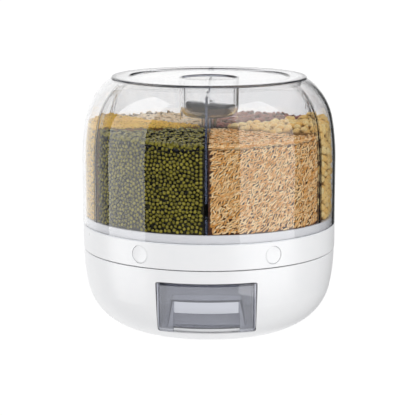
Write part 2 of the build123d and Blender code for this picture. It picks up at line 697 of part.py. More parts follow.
def lid_plate():
    """Clear lid: raised rim, sunk panel, deep cup in the middle and a skirt inside the neck."""
    outer = cup_line(CUP_RADIUS, cup_bottom, CUP_CORNER, panel_under)
    inner = cup_line(CUP_RADIUS - CUP_WALL, cup_bottom + CUP_WALL, CUP_CORNER - CUP_WALL, panel_top)
    middle = Line((0, cup_bottom), (0, cup_bottom + CUP_WALL))
    upper = Polyline(
        (CUP_RADIUS - CUP_WALL, panel_top),
        (panel_radius, panel_top),
        (panel_radius + LID_STEP, lid_top),
        (lid_radius - LID_EDGE, lid_top),
    )
    edge = CenterArc((lid_radius - LID_EDGE, lid_top - LID_EDGE), LID_EDGE, 0, 90)
    lower = Polyline(
        (lid_radius, lid_top - LID_EDGE),
        (lid_radius, lid_bottom),
        (skirt_out, lid_bottom),
        (skirt_out, skirt_bottom),
        (skirt_in, skirt_bottom),
        (skirt_in, panel_under),
        (CUP_RADIUS, panel_under),
    )
    return turned(*outer, *inner, middle, upper, edge, lower)


def lid_seal():
    """Dark soft ring under the lid's rim."""
    return tube(lid_radius - LID_SEAL_INSET, neck_radius + LID_SEAL_INSET, neck_top, lid_bottom)


def lid_grip():
    """Smoke-grey bar across the floor of the lid's cup, to pinch from above."""
    bottom = cup_bottom + CUP_WALL + GRIP_FIT
    top = bottom + GRIP_HEIGHT
    bar = Pos(0, 0, bottom) * Box(2 * CUP_RADIUS, GRIP_WIDTH, GRIP_HEIGHT, align=UPRIGHT)
    bar = fillet(bar.edges().filter_by(Axis.X).group_by(Axis.Z)[-1], GRIP_ROUND)
    space_radius = CUP_RADIUS - CUP_WALL - GRIP_FIT
    space = cup_line(space_radius, bottom, CUP_CORNER - CUP_WALL - GRIP_FIT, top)
    rest = Polyline((space_radius, top), (0, top), (0, bottom))
    return (bar & turned(*space, rest)).rotate(Axis.Z, GRIP_TURN)


def pocket_prism(grow, low):
    """Finger pocket behind the drawer's lip as a prism along Y, grown by an amount, from a low height."""
    half_top = NOTCH_WIDTH / 2 + grow
    half_bottom = half_top + POCKET_FLARE
    top = pocket_top + grow
    corners = ((-half_bottom, low), (half_bottom, low), (half_top, top), (-half_top, top))
    face = make_face(Polyline(*corners, close=True))
    return Pos(0, -(pocket_back - grow), 0) * extrude(Plane.XZ * face, BASE_RADIUS)


def drawer_front():
    """Smoke-clear front that follows the bowl, with a notch below its lip and a finger pocket behind."""
    panel = (bowl_solid(0) - bowl_solid(PANEL_THICK)) & window_prism(-PANEL_GAP)
    notch = block(NOTCH_WIDTH / 2, BASE_RADIUS / 2, 2 * BASE_RADIUS, window_bottom, lip_bottom)
    notch = fillet(notch.edges().filter_by(Axis.Y).group_by(Axis.Z)[-1], NOTCH_CORNER)
    low = bin_floor + BIN_FIT
    walls = (pocket_prism(POCKET_WALL, low) & bowl_solid(PANEL_THICK / 2)) - pocket_prism(0, low)
    return panel - notch + walls


def drawer_bin():
    """Smoke-clear tray that joins the back of the drawer front, its floor running on under the pocket."""
    tray = block(bin_half, BIN_BACK, BASE_RADIUS, bin_bottom, bin_top)
    inside = block(bin_half - BIN_WALL, BIN_BACK + BIN_WALL, BASE_RADIUS, bin_floor, bin_top)
    tray = (tray - inside) & bowl_solid(PANEL_THICK + BIN_FIT)
    return tray - pocket_prism(POCKET_WALL + BIN_FIT, bin_floor)


pieces = {
    "base_housing": base_housing(),
    "foot_pads": foot_pads(),
    "base_deck": base_deck(),
    "deck_screws": deck_screws(),
    "drawer_tunnel": drawer_tunnel(),
    "tunnel_screws": tunnel_screws(),
    "bearing_balls": bearing_balls(),
    "bearing_cage": bearing_cage(),
    "pivot_washer": pivot_washer(),
    "pivot_screw": pivot_screw(),
    "turntable_plate": turntable_plate(),
    "pivot_bush": pivot_bush(),
    "button_ring": button_ring(),
    "ring_screws": upward_screws(ring_boss_circle, PLATE_THICK - SCREW_SINK + SCREW_BITE),
    "hopper_floor": hopper_floor(),
    "floor_screws": upward_screws(
        floor_screw_circle, floor_under - plate_bottom - SCREW_SINK + SCREW_BITE
    ),
    "hopper_dome": hopper_dome(),
    "dome_seal": dome_seal(),
    "center_column": center_column(),
    "lid_plate": lid_plate(),
    "lid_seal": lid_seal(),
    "lid_grip": lid_grip(),
    "drawer_front": drawer_front(),
    "drawer_bin": drawer_bin(),
}

# The dividers stand at the front and every sector, and the gates lie between them.
repeated = {"divider": (divider(), 0.0)}
repeated["button_cap"] = (button_cap(), SECTOR / 2)
repeated["gate"] = (gate(), SECTOR / 2)
repeated["gate_spring"] = (gate_spring(), SECTOR / 2)
for name, (piece, start) in repeated.items():
    for number, copy in enumerate(around(piece, start=start), start=1):
        pieces[f"{name}_{number}"] = copy

os.makedirs("parts", exist_ok=True)
for name, piece in pieces.items():
    export_step(piece, f"parts/{name}.step")
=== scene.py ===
from math import asin, cos, pi, radians, sin, tau

import bpy
import numpy as np
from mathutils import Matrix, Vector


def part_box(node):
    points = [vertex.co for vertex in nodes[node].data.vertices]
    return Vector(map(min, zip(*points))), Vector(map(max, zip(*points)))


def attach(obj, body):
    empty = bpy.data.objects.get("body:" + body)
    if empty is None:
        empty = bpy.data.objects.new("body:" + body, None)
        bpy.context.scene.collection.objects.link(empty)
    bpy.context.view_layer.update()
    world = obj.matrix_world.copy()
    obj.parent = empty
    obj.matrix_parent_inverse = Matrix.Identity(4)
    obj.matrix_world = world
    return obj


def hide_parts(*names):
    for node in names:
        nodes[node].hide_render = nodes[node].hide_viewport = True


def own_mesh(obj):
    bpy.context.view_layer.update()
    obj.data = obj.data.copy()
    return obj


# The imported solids
# The dispenser's solids, with their bodies and joints, are the fixed frame that the looks go on.
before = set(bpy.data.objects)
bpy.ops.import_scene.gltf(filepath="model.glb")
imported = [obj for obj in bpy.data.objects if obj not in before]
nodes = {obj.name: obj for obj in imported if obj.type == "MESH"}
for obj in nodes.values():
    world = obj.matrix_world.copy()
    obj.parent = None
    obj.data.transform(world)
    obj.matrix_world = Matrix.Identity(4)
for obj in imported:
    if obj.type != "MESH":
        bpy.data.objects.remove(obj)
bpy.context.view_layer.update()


# Rubber feet
# Four discs of soft grey rubber, moulded and pressed into recesses under the bowl.
# They are all that touches the table.
def linear(hex_colour):
    """Linear colour with alpha from an sRGB hex value."""
    parts = [int(hex_colour[i : i + 2], 16) / 255 for i in (1, 3, 5)]
    return [p / 12.92 if p <= 0.04045 else ((p + 0.055) / 1.055) ** 2.4 for p in parts] + [1.0]


def add(tree, kind, inputs, **settings):
    """Add a node with its settings, its input values and the links that feed it."""
    node = tree.nodes.new(kind)
    for name, value in settings.items():
        setattr(node, name, value)
    for name, value in inputs.items():
        if isinstance(value, bpy.types.NodeSocket):
            tree.links.new(value, node.inputs[name])
        else:
            node.inputs[name].default_value = value
    return node


def new_material(name):
    """A material with an empty tree, and that tree."""
    made = bpy.data.materials.new(name)
    made.use_nodes = True
    made.node_tree.nodes.clear()
    return made, made.node_tree


def noise(tree, millimetres, **more):
    """Noise over a piece, with features of that size."""
    place = add(tree, "ShaderNodeTexCoord", {})
    inputs = {"Vector": place.outputs["Object"], "Scale": 1000 / millimetres, **more}
    return add(tree, "ShaderNodeTexNoise", inputs).outputs[0]


def blend(tree, share, first, second):
    """One colour at share 0, running to the other at 1."""
    # A Mix node has several sockets of the same name, so the two colours go by their places.
    return add(tree, "ShaderNodeMix", {0: share, 6: first, 7: second}, data_type="RGBA").outputs[2]


def dented(tree, height, strength, depth):
    """Normals dented by a pattern."""
    inputs = {"Height": height, "Strength": strength, "Distance": depth}
    return add(tree, "ShaderNodeBump", inputs).outputs[0]


def opaque(tree, inputs):
    """The material's surface, from a principled shader with these inputs."""
    shader = add(tree, "ShaderNodeBsdfPrincipled", inputs)
    add(tree, "ShaderNodeOutputMaterial", {"Surface": shader.outputs[0]})


def dress(made, *names):
    """Give CAD nodes a material."""
    for name in names:
        slots = nodes[name].data.materials
        slots.clear()
        slots.append(made)


# Moulded rubber scatters light from a fine matt skin, with dust in the pores.
RUBBER_GREY, RUBBER_DUST = "#4A4A4C", "#6A6968"
RUBBER_GRIT_MM = 1.2
RUBBER_ROUGHNESS, RUBBER_IOR = 0.78, 1.5
RUBBER_DENT, RUBBER_DENT_DEPTH = 0.3, 0.0002
rubber, tree = new_material("moulded_grey_rubber")
grit = noise(tree, RUBBER_GRIT_MM)
opaque(
    tree,
    {
        "Base Color": blend(tree, grit, linear(RUBBER_GREY), linear(RUBBER_DUST)),
        "Roughness": RUBBER_ROUGHNESS,
        "IOR": RUBBER_IOR,
        "Normal": dented(tree, grit, RUBBER_DENT, RUBBER_DENT_DEPTH),
    },
)
dress(rubber, "foot_pads")


# Base bowl, button ring and buttons
# White ABS mouldings. The bowl stands on the feet, the ring turns above it with a thin seam
# between them, and six round buttons sit flush in the ring.
def between(tree, value, ends, span=(0.0, 1.0), **settings):
    """A value that runs over a span, moved to run from one end to the other."""
    inputs = {
        "Value": value,
        "From Min": span[0],
        "From Max": span[1],
        "To Min": ends[0],
        "To Max": ends[1],
    }
    return add(tree, "ShaderNodeMapRange", inputs, **settings).outputs[0]


# Polished tool steel gives satin white plastic: soft broad highlights, with a faint ripple
# from the melt's flow that shows only in the gloss.
ABS_WHITE, ABS_COOL = "#F3F3F4", "#EDEEF0"
ABS_RIPPLE_MM = 14.0
ABS_GRIT_MM = 1.6  # the real spark texture is about 0.1 mm, and is drawn this coarse to show
ABS_GLOSS, ABS_IOR = (0.24, 0.38), 1.53
ABS_DENT, ABS_DENT_DEPTH = 0.05, 0.0001
FINE_DETAIL = 4.0
white_abs, tree = new_material("moulded_white_abs")
ripple = noise(tree, ABS_RIPPLE_MM)
grit = noise(tree, ABS_GRIT_MM, Detail=FINE_DETAIL)
opaque(
    tree,
    {
        "Base Color": blend(tree, ripple, linear(ABS_WHITE), linear(ABS_COOL)),
        "Roughness": between(tree, ripple, ABS_GLOSS),
        "IOR": ABS_IOR,
        "Normal": dented(tree, grit, ABS_DENT, ABS_DENT_DEPTH),
    },
)
numbers = range(1, 7)
dress(white_abs, "base_housing", "button_ring", *[f"button_cap_{n}" for n in numbers])

# Deck, drawer tunnel, turntable plate and hopper floor
# The same white ABS inside the body, screwed up in a stack between the bowl and the dome.
dress(white_abs, "base_deck", "drawer_tunnel", "turntable_plate", "hopper_floor")

# Cage, bush and gates
# Sliding pieces moulded in natural acetal, which is slippery and needs no grease.
# It is a milky white with a waxy gloss.
ACETAL_MILK, ACETAL_CREAM = "#EFEDE6", "#E6E3DA"
ACETAL_CLOUD_MM = 9.0
ACETAL_GLOSS, ACETAL_IOR = (0.28, 0.4), 1.48
acetal, tree = new_material("natural_acetal")
cloud = noise(tree, ACETAL_CLOUD_MM)
opaque(
    tree,
    {
        "Base Color": blend(tree, cloud, linear(ACETAL_MILK), linear(ACETAL_CREAM)),
        "Roughness": between(tree, cloud, ACETAL_GLOSS),
        "IOR": ACETAL_IOR,
    },
)
dress(acetal, "bearing_cage", "pivot_bush", *[f"gate_{n}" for n in numbers])

# Screws, washer, balls and gate springs
# Zinc-plated steel screws, hard steel balls and drawn steel springs.
# Plating is bright, with a slight cloud in its colour and its gloss.
STEEL_BRIGHT, STEEL_DULL = "#C9CBCE", "#A9ABB0"
STEEL_CLOUD_MM = 1.5
STEEL_GLOSS = (0.2, 0.38)
steel, tree = new_material("zinc_plated_steel")
cloud = noise(tree, STEEL_CLOUD_MM)
opaque(
    tree,
    {
        "Base Color": blend(tree, cloud, linear(STEEL_BRIGHT), linear(STEEL_DULL)),
        "Metallic": 1.0,
        "Roughness": between(tree, cloud, STEEL_GLOSS),
    },
)
dress(steel, "deck_screws", "tunnel_screws", "ring_screws", "floor_screws")
dress(steel, "bearing_balls", "pivot_washer", "pivot_screw")


def new_piece(name, points, faces, made):
    """A smooth piece from points and triangles or quads, in the part's frame."""
    mesh = bpy.data.meshes.new(name)
    mesh.vertices.add(len(points))
    mesh.vertices.foreach_set("co", np.asarray(points, np.float32).ravel())
    faces = np.asarray(faces, np.int32)
    corners = faces.shape[1]
    mesh.loops.add(faces.size)
    mesh.loops.foreach_set("vertex_index", faces.ravel())
    mesh.polygons.add(len(faces))
    mesh.polygons.foreach_set("loop_start", np.arange(0, faces.size, corners, dtype=np.int32))
    mesh.update(calc_edges=True)
    mesh.shade_smooth()
    mesh.materials.append(made)
    piece = bpy.data.objects.new(name, mesh)
    bpy.context.scene.collection.objects.link(piece)
    return piece


def from_front(angle, radius):
    """Point in plan at an angle from the front, measured towards +X, and a radius."""
    return radius * sin(angle), -radius * cos(angle)


# Each spring lies along its stem from the seat on the plate to the stop on the gate.
# The second one lies along +X, so its box gives the length and the height of all six.
spring_low, spring_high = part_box("gate_spring_2")
SPRING_SEAT, SPRING_END = spring_low[0], spring_high[0]
SPRING_HEIGHT = (spring_low[2] + spring_high[2]) / 2
SPRING_WIRE = 0.0004
SPRING_MEAN = (spring_high[2] - spring_low[2]) / 2 - SPRING_WIRE
SPRING_TURNS, TURN_STEPS, WIRE_SIDES = 5, 28, 8
SECTOR_DEGREES = 60
steps = SPRING_TURNS * TURN_STEPS
turn = np.linspace(0, SPRING_TURNS * tau, steps + 1)[:, None]
lie = np.linspace(SPRING_SEAT + SPRING_WIRE, SPRING_END - SPRING_WIRE, steps + 1)[:, None]
round_wire = np.linspace(0, tau, WIRE_SIDES, endpoint=False)[None, :]
coil_radius = SPRING_MEAN + SPRING_WIRE * np.cos(round_wire)
along = (lie + SPRING_WIRE * np.sin(round_wire)).ravel()
across = (coil_radius * np.cos(turn)).ravel()
height = SPRING_HEIGHT + (coil_radius * np.sin(turn)).ravel()
ring = np.arange(WIRE_SIDES)
after = np.roll(ring, -1)
band = np.stack((ring, after, after + WIRE_SIDES, ring + WIRE_SIDES), 1)
coil_faces = np.concatenate([band + s * WIRE_SIDES for s in range(steps)])
for n in numbers:
    angle = radians(SECTOR_DEGREES * n - SECTOR_DEGREES / 2)
    out_x, out_y = from_front(angle, 1)
    points = np.stack((along * out_x - across * out_y, along * out_y + across * out_x, height), 1)
    spring = new_piece(f"coil_spring_{n}", points, coil_faces, steel)
    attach(spring, "turret")
    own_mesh(spring)
    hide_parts(f"gate_spring_{n}")

# Dome, dividers, centre column and lid
# Clear styrene-acrylonitrile mouldings: one dome with rib pairs that hold six loose dividers,
# a column in the middle, and a lid with a sunk panel and a deep cup.
# Polished moulds leave it glass clear in thin walls. Seen edge on, the plates darken to slate
# blue, because the light has then come a long way inside them.
# Lamps reach what is inside, as they do through real thin walls.
WHITE = "#FFFFFF"
CLEAR_DEEP, CLEAR_DEPTH = "#5E6E96", 12.0
CLEAR_GLOSS, CLEAR_HAZE = (0.008, 0.03), (0.0, 0.006)
FLOW_MM = 30.0
LET_THROUGH = "#FAFAFB"
SAN_IOR = 1.52


def switch(tree, share, first, second):
    """One shader at share 0, the other at 1."""
    return add(tree, "ShaderNodeMixShader", {0: share, 1: first, 2: second}).outputs[0]


def clear_plastic(name, skin, gloss, haze, deep, depth):
    """Plastic with a gloss and a haze that vary, and a deep colour that grows with its depth."""
    made, tree = new_material(name)
    path = add(tree, "ShaderNodeLightPath", {})
    flow = noise(tree, FLOW_MM)
    shader = add(
        tree,
        "ShaderNodeBsdfPrincipled",
        {
            "Base Color": linear(skin),
            "Roughness": between(tree, flow, gloss),
            "IOR": SAN_IOR,
            "Transmission Weight": between(tree, flow, (1 - haze[0], 1 - haze[1])),
        },
    )
    thin = add(tree, "ShaderNodeBsdfTransparent", {"Color": linear(LET_THROUGH)})
    inside = switch(tree, path.outputs["Is Diffuse Ray"], shader.outputs[0], thin.outputs[0])
    both = switch(tree, path.outputs["Is Shadow Ray"], inside, thin.outputs[0])
    stain = add(tree, "ShaderNodeVolumeAbsorption", {"Color": linear(deep), "Density": depth})
    add(tree, "ShaderNodeOutputMaterial", {"Surface": both, "Volume": stain.outputs[0]})
    return made


clear_san = clear_plastic("clear_san", WHITE, CLEAR_GLOSS, CLEAR_HAZE, CLEAR_DEEP, CLEAR_DEPTH)
dress(clear_san, "hopper_dome", "lid_plate", "center_column", *[f"divider_{n}" for n in numbers])

# Seals
# A grey silicone ring under the lid's rim, and a milky one under the dome's foot.
# Both are moulded and pushed into a groove. Silicone is satin, with a faint bloom in its colour.
SILICONE_CLOUD_MM, SILICONE_IOR = 4.0, 1.43
SEALS = (
    ("grey_silicone", "lid_seal", "#56585E", "#686A70", 0.5),
    ("milky_silicone", "dome_seal", "#F2F4F7", "#E6EAEF", 0.45),
)
for name, seal, plain, bloom, roughness in SEALS:
    silicone, tree = new_material(name)
    cloud = noise(tree, SILICONE_CLOUD_MM)
    opaque(
        tree,
        {
            "Base Color": blend(tree, cloud, linear(plain), linear(bloom)),
            "Roughness": roughness,
            "IOR": SILICONE_IOR,
        },
    )
    dress(silicone, seal)

# Lid grip
# A bar across the floor of the cup, to pinch from above, moulded in dark smoke-tinted SAN.
# It is nearly black in its thickness, with bright glossy rounds along its top.
GRIP_SKIN, GRIP_DEEP, GRIP_DEPTH = "#8A8C94", "#4A4C54", 190.0
GRIP_GLOSS, GRIP_HAZE = (0.04, 0.07), (0.1, 0.16)
grip_san = clear_plastic("dark_smoke_san", GRIP_SKIN, GRIP_GLOSS, GRIP_HAZE, GRIP_DEEP, GRIP_DEPTH)
dress(grip_san, "lid_grip")

# Drawer
# A front that follows the bowl, with a lip and a finger pocket, and the bin welded behind it.
# Smoke-tinted clear SAN with a fine haze: grey-blue, paler where walls lie one behind another,
# and near black where they are seen edge on.
SMOKE_SKIN, SMOKE_DEEP, SMOKE_DEPTH = "#E8EAF1", "#5C6288", 14.0
SMOKE_GLOSS, SMOKE_HAZE = (0.02, 0.05), (0.2, 0.28)
smoke = (SMOKE_SKIN, SMOKE_GLOSS, SMOKE_HAZE, SMOKE_DEEP, SMOKE_DEPTH)
smoke_san = clear_plastic("smoke_clear_san", *smoke)
dress(smoke_san, "drawer_bin")


def reckon(tree, operation, *values):
    """Result of a Math node."""
    return add(tree, "ShaderNodeMath", dict(enumerate(values)), operation=operation).outputs[0]


# The front's lip, over the finger pocket, has a band with less clarity, which reads paler:
# painted light for the light that comes through the lip's layers. The front's edge is polished
# clear, so the dark gap behind it shows as a border.
LIP_LOW, LIP_HIGH, LIP_HALF = 0.036, 0.0467, 0.0288
LIP_CLEAR = 0.42
PANEL_HALF, PANEL_TOP = 0.0422, 0.0612
front_san = clear_plastic("lip_lightened_smoke_san", *smoke)
tree = front_san.node_tree
place = add(tree, "ShaderNodeTexCoord", {})
ways = add(tree, "ShaderNodeSeparateXYZ", {0: place.outputs["Object"]})
shader = next(n for n in tree.nodes if n.type == "BSDF_PRINCIPLED")
hazy = shader.inputs["Transmission Weight"].links[0].from_socket


def in_band(half, low, high):
    """1 inside a band of the front, given by its half width and its two heights, and 0 outside."""
    inside = reckon(tree, "COMPARE", ways.outputs[0], 0.0, half)
    level = reckon(tree, "COMPARE", ways.outputs[2], (low + high) / 2, (high - low) / 2)
    return reckon(tree, "MULTIPLY", inside, level)


# In a Mix node of numbers, socket 0 takes the share, 2 the first value and 3 the second.
panel = add(tree, "ShaderNodeMix", {0: in_band(PANEL_HALF, 0.0, PANEL_TOP), 2: 1.0, 3: hazy})
# The lip band's paler look is painted light.
lip = {0: in_band(LIP_HALF, LIP_LOW, LIP_HIGH), 2: panel.outputs[0], 3: LIP_CLEAR}
lip_lightening = add(tree, "ShaderNodeMix", lip)
tree.links.new(lip_lightening.outputs[0], shader.inputs["Transmission Weight"])
dress(front_san, "drawer_front")


# Grain in the six compartments
# Dry food as it is shown on sale: mung beans and husked barley in front, soya beans, red
# beans, pale wheat and millet behind. Each heap is a core coloured in painted shade, with loose
# grains packed on its outside and top, as deep as the eye can see in. The grains' sides carry
# painted shade too, lifted by painted light near the heap's top edge.
def grain_form(sides, rings, blunt):
    """A grain along X, of length and thickness 1, as points, triangles and a map for its skin."""
    lengthwise = np.linspace(0, 1, rings + 2)[1:-1]
    girth = 0.5 * np.sin(pi * lengthwise) ** blunt
    turns = np.arange(sides) / sides
    points = [(-0.5, 0, 0)]
    for where, size in zip(lengthwise, girth, strict=True):
        x = -0.5 * cos(pi * where)
        points += [(x, size * cos(tau * t), size * sin(tau * t)) for t in turns]
    points.append((0.5, 0, 0))
    faces, skin = [], []
    last = len(points) - 1
    for s in range(sides):
        u, v = s / sides, (s + 1) / sides
        near, far = s, (s + 1) % sides
        faces.append((0, 1 + far, 1 + near))
        skin += [(0, u), (lengthwise[0], v), (lengthwise[0], u)]
        for r in range(rings - 1):
            a, b = 1 + r * sides, 1 + (r + 1) * sides
            low, high = lengthwise[r], lengthwise[r + 1]
            faces += [(a + near, a + far, b + far), (a + near, b + far, b + near)]
            skin += [(low, u), (low, v), (high, v), (low, u), (high, v), (high, u)]
        end = 1 + (rings - 1) * sides
        faces.append((last, end + near, end + far))
        skin += [(1, u), (lengthwise[-1], u), (lengthwise[-1], v)]
    return np.array(points), np.array(faces), np.array(skin)


# Shares of the gap: between the rows of a close packing, the shake, and each push
ROW_STEP, SHAKE, PUSH = 0.866, 0.6, 0.35


def spread(width, height, gap, rounds, chance):
    """Points over a rectangle about one gap apart, shaken from a grid and pushed apart again."""
    rows = np.arange(gap / 2, height, gap * ROW_STEP)
    columns = np.arange(gap / 2, width, gap)
    across, up = np.meshgrid(columns, rows)
    across = across + (np.arange(len(rows)) % 2)[:, None] * gap / 2
    points = np.stack((across.ravel(), up.ravel()), 1)
    points += chance.uniform(-SHAKE, SHAKE, points.shape) * gap
    for _ in range(rounds):
        apart = points[:, None, :] - points[None, :, :]
        far = np.sqrt((apart**2).sum(2)) + np.eye(len(points)) * gap
        push = np.clip(gap - far, 0, None) / far
        points += PUSH * (apart * push[:, :, None]).sum(1)
        points = np.clip(points, 0, (width, height))
    return points


def turned_to(long_way, flat_way):
    """Rotations whose X is the long way and whose Z is nearest to the flat way."""
    x = long_way / np.linalg.norm(long_way, axis=1)[:, None]
    y = np.cross(flat_way, x)
    y /= np.linalg.norm(y, axis=1)[:, None] + 1e-9
    return np.stack((x, y, np.cross(x, y)), 2)


SECTOR = pi / 3
UP = np.array((0, 0, 1.0))
DOME_WALL, FLOOR_WALL = 0.0025, 0.0022
DOME_STRAIGHT, SIDE_CURVE = 0.0595, 0.2213
dome_low, dome_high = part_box("hopper_dome")
DOME_IN = dome_high[0] - DOME_WALL
DOME_BEND = dome_low[2] + DOME_STRAIGHT
COLUMN_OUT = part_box("center_column")[1][0]
DIVIDER_HALF, RIB_HALF = 0.0014, 0.0026
# Top line of the hopper floor, as radii and heights: the crown, the trough and the rim
floor_low, floor_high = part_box("hopper_floor")
FLOOR_RADII = (0.0, 0.014, 0.0615, 0.072, 0.1156, 0.12)
floor_trough, floor_crown = floor_low[2] + FLOOR_WALL, floor_high[2]
FLOOR_HEIGHTS = (floor_crown, floor_crown, floor_trough, floor_trough, floor_crown, floor_crown)


def dome_in(height):
    """Inside radius of the dome: straight at the foot, then drawn in along a slow curve."""
    rise = np.clip(height - DOME_BEND, 0, None)
    return DOME_IN - SIDE_CURVE + np.sqrt(SIDE_CURVE**2 - rise**2)


def floor_line(radius):
    """Height of the hopper floor at a radius."""
    return np.interp(radius, FLOOR_RADII, FLOOR_HEIGHTS)


# A heap is dished or crowned by this power of the radius. Its ripple is the product of two
# waves, each given by its radians per radian round the axis and per metre out from it.
HEAP_BEND = 1.4
RIPPLE_HEIGHT, RIPPLE_WAVES = 0.0007, ((7, 90), (5, -130))


def heap_top(heap, angle, radius):
    """Height of a heap over a place: its level by each divider at the wall, and at the column."""
    first, second, middle = heap["levels"]
    share = (angle - heap["start"]) / SECTOR
    wall = first + (second - first) * share
    (round_a, out_a), (round_b, out_b) = RIPPLE_WAVES
    wave = np.sin(round_a * angle + out_a * radius) * np.cos(round_b * angle + out_b * radius)
    level = middle + (wall - middle) * (radius / DOME_IN) ** HEAP_BEND
    return level / 1000 + RIPPLE_HEIGHT * wave


# How far heaps and grains keep from what holds them, the first as a share of a grain's thickness
INSET = 0.55
WALL_PLAY, CORE_PLAY, CORE_FROM_COLUMN = 0.0003, 0.0004, 0.004
CORE_STEPS_OUT, CORE_STEPS_ROUND = 26, 24


def heap_core(heap, made):
    """Closed solid under the loose grains of one compartment."""
    inset = INSET * heap["size"][1]
    inner, outer = COLUMN_OUT + CORE_FROM_COLUMN, DOME_IN - inset - CORE_PLAY
    first, last = heap["start"], heap["start"] + SECTOR
    top, bottom = [], []
    for radius in np.linspace(inner, outer, CORE_STEPS_OUT):
        margin = asin((DIVIDER_HALF + CORE_PLAY) / radius)
        angles = np.linspace(first + margin, last - margin, CORE_STEPS_ROUND)
        x, y = radius * np.sin(angles), -radius * np.cos(angles)
        high = heap_top(heap, angles, radius) - inset
        low = np.full(CORE_STEPS_ROUND, floor_line(radius) + WALL_PLAY)
        drawn_in = dome_in(high) / DOME_IN
        top.append(np.stack((x * drawn_in, y * drawn_in, high), 1))
        bottom.append(np.stack((x, y, low), 1))
    points = np.concatenate((*top, *bottom))
    count = CORE_STEPS_OUT * CORE_STEPS_ROUND
    grid = np.arange(count).reshape(CORE_STEPS_OUT, CORE_STEPS_ROUND)
    over = np.stack((grid[:-1, :-1], grid[1:, :-1], grid[1:, 1:], grid[:-1, 1:]), 2).reshape(-1, 4)
    under = over[:, ::-1] + count
    edge = np.concatenate((grid[0, :], grid[1:, -1], grid[-1, -2::-1], grid[-2:0:-1, 0]))
    after = np.roll(edge, -1)
    wall = np.stack((edge, after, after + count, edge + count), 1)
    gap_shade = new_piece(heap["name"] + "_heap", points, np.concatenate((over, under, wall)), made)
    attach(gap_shade, "turret")


# Grains at the wall, as shares of their thickness: from layer to layer, the most that one is set
# in, and how far they stand over the heap. Near the heap's top edge the grains' upper sides get
# painted light in place of the painted shade, for this many gaps down.
LAYER_STEP, SET_IN, STAND_OVER = 0.8, 0.25, 0.3
LIT_GAPS_DOWN = 2
WALL_REACH = 0.118


def plan_ways(angle):
    """Unit vectors outwards and sideways at angles from the front."""
    level = np.zeros(len(angle))
    out = np.stack((np.sin(angle), -np.cos(angle), level), 1)
    side = np.stack((np.cos(angle), np.sin(angle), level), 1)
    return out, side


def wall_grains(heap, chance, layer):
    """A layer against the dome: places, long ways, flat ways, ways painted lit near the top edge,
    and depths that deepen the painted shade.
    """
    long, thick = heap["size"]
    half, gap, start = (long - thick) / 2, heap["gap"], heap["start"]
    wall = DOME_IN - WALL_PLAY - thick / 2 - layer * LAYER_STEP * thick
    margin = (RIB_HALF + thick / 2) / wall
    flat = spread((SECTOR - 2 * margin) * wall, WALL_REACH, gap, heap["rounds"], chance)
    angle = start + margin + flat[:, 0] / wall
    lean = chance.uniform(-1, 1, len(flat)) * heap["lean"]
    set_in = chance.uniform(0, SET_IN, len(flat)) * thick
    radius = wall - np.abs(np.sin(lean)) * half - set_in
    up = flat[:, 1] + floor_line(radius) + thick / 2
    keep = up < heap_top(heap, angle, radius) + STAND_OVER * thick
    angle, radius, up, lean = angle[keep], radius[keep], up[keep], lean[keep]
    spin = chance.normal(heap["slope"], heap["stray"], len(angle))
    # They are moved clear of the floor, the dome's curve and the ribs.
    tall = thick / 2 + half * np.abs(np.sin(spin))
    up = np.maximum(up, floor_line(radius) + tall)
    radius = radius - DOME_IN + dome_in(up + tall)
    room = (RIB_HALF + thick / 2 + half * np.abs(np.cos(spin))) / radius
    angle = np.clip(angle, start + room, start + SECTOR - room)
    out, side = plan_ways(angle)
    way = np.cos(spin)[:, None] * side + np.sin(spin)[:, None] * UP
    # Painted light: near the heap's top edge the upward sides are spared the painted shade.
    below = heap_top(heap, angle, radius) - up
    edge = np.clip(1 - below / (LIT_GAPS_DOWN * gap), 0, 1)
    return (
        out * radius[:, None] + UP * up[:, None],
        np.cos(lean)[:, None] * way + np.sin(lean)[:, None] * out,
        out,
        edge[:, None] * UP,
        layer * (1 - edge),
    )


# Grains on top, as shares: of the gap, how far they are stirred; of their thickness, how deep
# they lie, the step to the next layer and the scatter in height; and of their length, how near
# the wall they lie along it. Near the outer edge the grains' outer sides get painted light in
# place of the painted shade, for this many gaps in, from the start given.
STIR = 0.1
TOP_SINK, TOP_STEP, TOP_SCATTER = 0.25, 0.75, (-0.38, 0.3)
ALONG_WALL = 0.8
LIT_START, LIT_GAPS_IN = 1.3, 3


